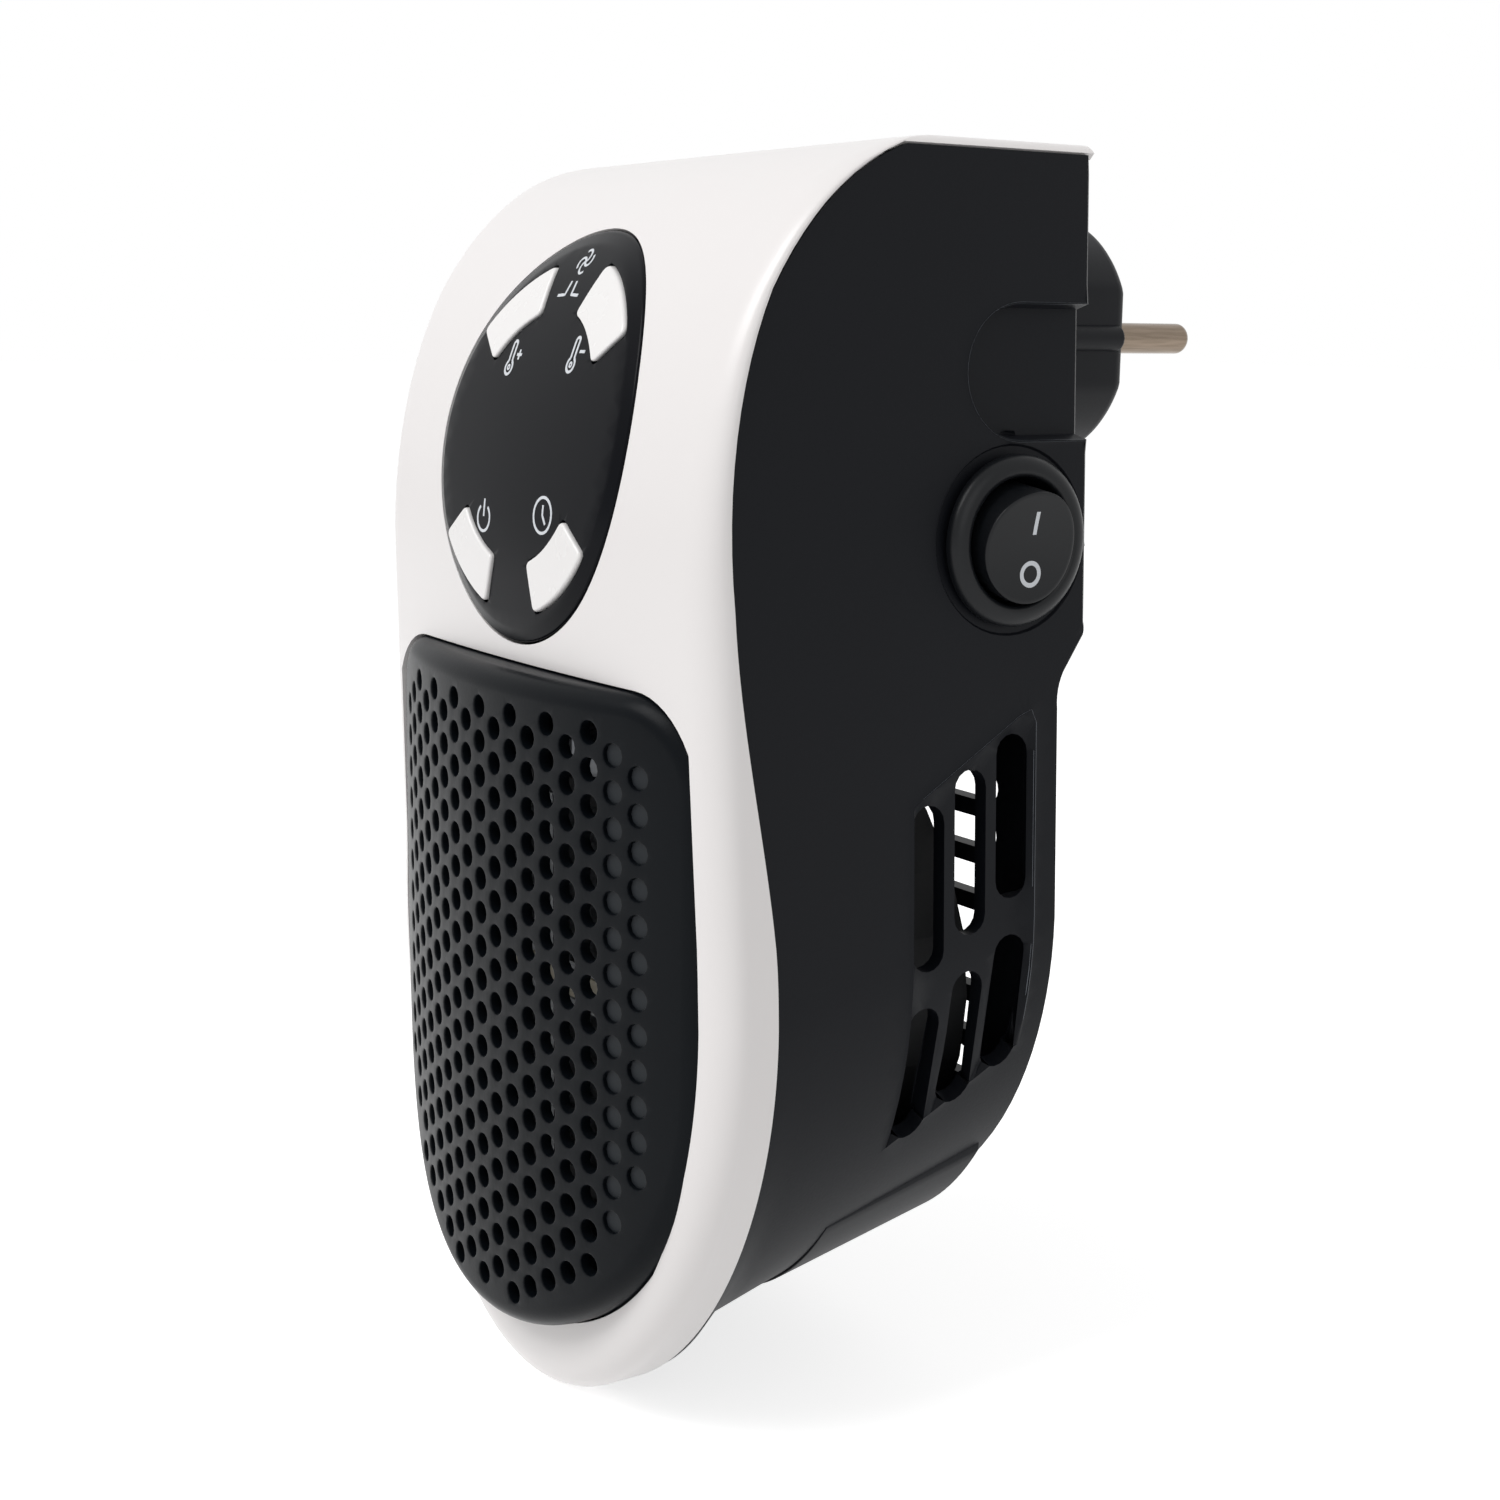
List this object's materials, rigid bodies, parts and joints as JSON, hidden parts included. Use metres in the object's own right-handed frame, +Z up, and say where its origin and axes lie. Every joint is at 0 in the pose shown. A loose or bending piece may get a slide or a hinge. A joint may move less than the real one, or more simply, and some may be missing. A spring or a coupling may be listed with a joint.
{
  "type": "plug-in fan heater",
  "caption": "Wall-plug fan heater: white front with a domed perforated grille and an oval touch panel, black vented rear case, side rocker switch and turning round-pin plug.",
  "frame": {"origin": "centre of the plug's end face, between the two pins", "axes": "+Z up, +X to the right seen from the front, +Y towards the wall socket; the front faces -Y"},
  "size_m": [0.1026, 0.123, 0.1805],
  "materials": {
    "white_shell": "semi-gloss moulded",
    "white_buttons": "semi-gloss, backlit keys",
    "slate_grille": "satin",
    "gloss_black_panel": "high gloss",
    "black_case": "fine matte texture",
    "black_plug": "fine matte texture",
    "switch_black": "satin",
    "inner_black_plastic": "satin",
    "cream_nylon": "matt",
    "nickel_pins": "brushed nickel, slightly warm",
    "contact_brass": "stamped",
    "heater_aluminium": "rolled",
    "bright_steel": "bright plated",
    "board_green": "solder mask",
    "relay_blue": "moulded",
    "film_yellow": "moulded"
  },
  "bodies": {
    "plug": {"plug_body": "black_plug", "plug_pin_left": "nickel_pins", "plug_pin_right": "nickel_pins", "plug_retainer": "cream_nylon", "slip_ring_outer": "contact_brass", "slip_ring_inner": "contact_brass"},
    "housing": {"front_shell": "white_shell", "front_grille": "slate_grille", "control_panel": "gloss_black_panel", "led_display": "gloss_black_panel", "rear_case": "black_case", "rear_foot": "black_case", "switch_housing": "switch_black", "fan_duct": "inner_black_plastic", "fan_up_button_switch": "inner_black_plastic", "warmer_button_switch": "inner_black_plastic", "power_button_switch": "inner_black_plastic", "timer_button_switch": "inner_black_plastic", "contact_carrier": "cream_nylon", "heater_frame": "cream_nylon", "terminal_block": "cream_nylon", "contact_spring_outer": "contact_brass", "contact_spring_inner": "contact_brass", "switch_terminal_upper": "contact_brass", "switch_terminal_lower": "contact_brass", "fin_pack_upper": "heater_aluminium", "fin_pack_lower": "heater_aluminium", "case_screw_upper_left": "bright_steel", "case_screw_upper_right": "bright_steel", "case_screw_lower_left": "bright_steel", "case_screw_lower_right": "bright_steel", "board_screw_lower_left": "bright_steel", "board_screw_upper_left": "bright_steel", "board_screw_upper_right": "bright_steel", "heating_bar": "bright_steel", "thermal_cutout": "bright_steel", "fan_motor": "bright_steel", "filter_capacitor": "bright_steel", "display_board": "board_green", "main_board": "board_green", "relay": "relay_blue", "film_capacitor": "film_yellow"},
    "fan": {"motor_shaft": "bright_steel", "fan_impeller": "inner_black_plastic"},
    "rocker": {"switch_rocker": "switch_black"},
    "fan_up_button": {"fan_up_button": "white_buttons"},
    "warmer_button": {"warmer_button": "white_buttons"},
    "power_button": {"power_button": "white_buttons"},
    "timer_button": {"timer_button": "white_buttons"}
  },
  "joints": [
    {"name": "plug_turn", "type": "hinge", "parent": "plug", "child": "housing", "pos_m": [0, -0.019, 0], "axis": [0, 1, 0], "range_deg": [-90, 90]},
    {"name": "fan_spin", "type": "hinge", "parent": "housing", "child": "fan", "pos_m": [0, -0.066, -0.0945], "axis": [0, 1, 0], "continuous": true},
    {"name": "rocker_tip", "type": "hinge", "parent": "housing", "child": "rocker", "pos_m": [0.04689, -0.0468, -0.027], "axis": [0, 1, 0], "range_deg": [-20, 0]},
    {"name": "fan_up_press", "type": "slide", "parent": "housing", "child": "fan_up_button", "axis": [0, 1, 0], "range_m": [0, 0.0008], "stiffness_N_per_m": 400, "springref_m": -0.0004},
    {"name": "warmer_press", "type": "slide", "parent": "housing", "child": "warmer_button", "axis": [0, 1, 0], "range_m": [0, 0.0008], "stiffness_N_per_m": 400, "springref_m": -0.0004},
    {"name": "power_press", "type": "slide", "parent": "housing", "child": "power_button", "axis": [0, 1, 0], "range_m": [0, 0.0008], "stiffness_N_per_m": 400, "springref_m": -0.0004},
    {"name": "timer_press", "type": "slide", "parent": "housing", "child": "timer_button", "axis": [0, 1, 0], "range_m": [0, 0.0008], "stiffness_N_per_m": 400, "springref_m": -0.0004}
  ]
}
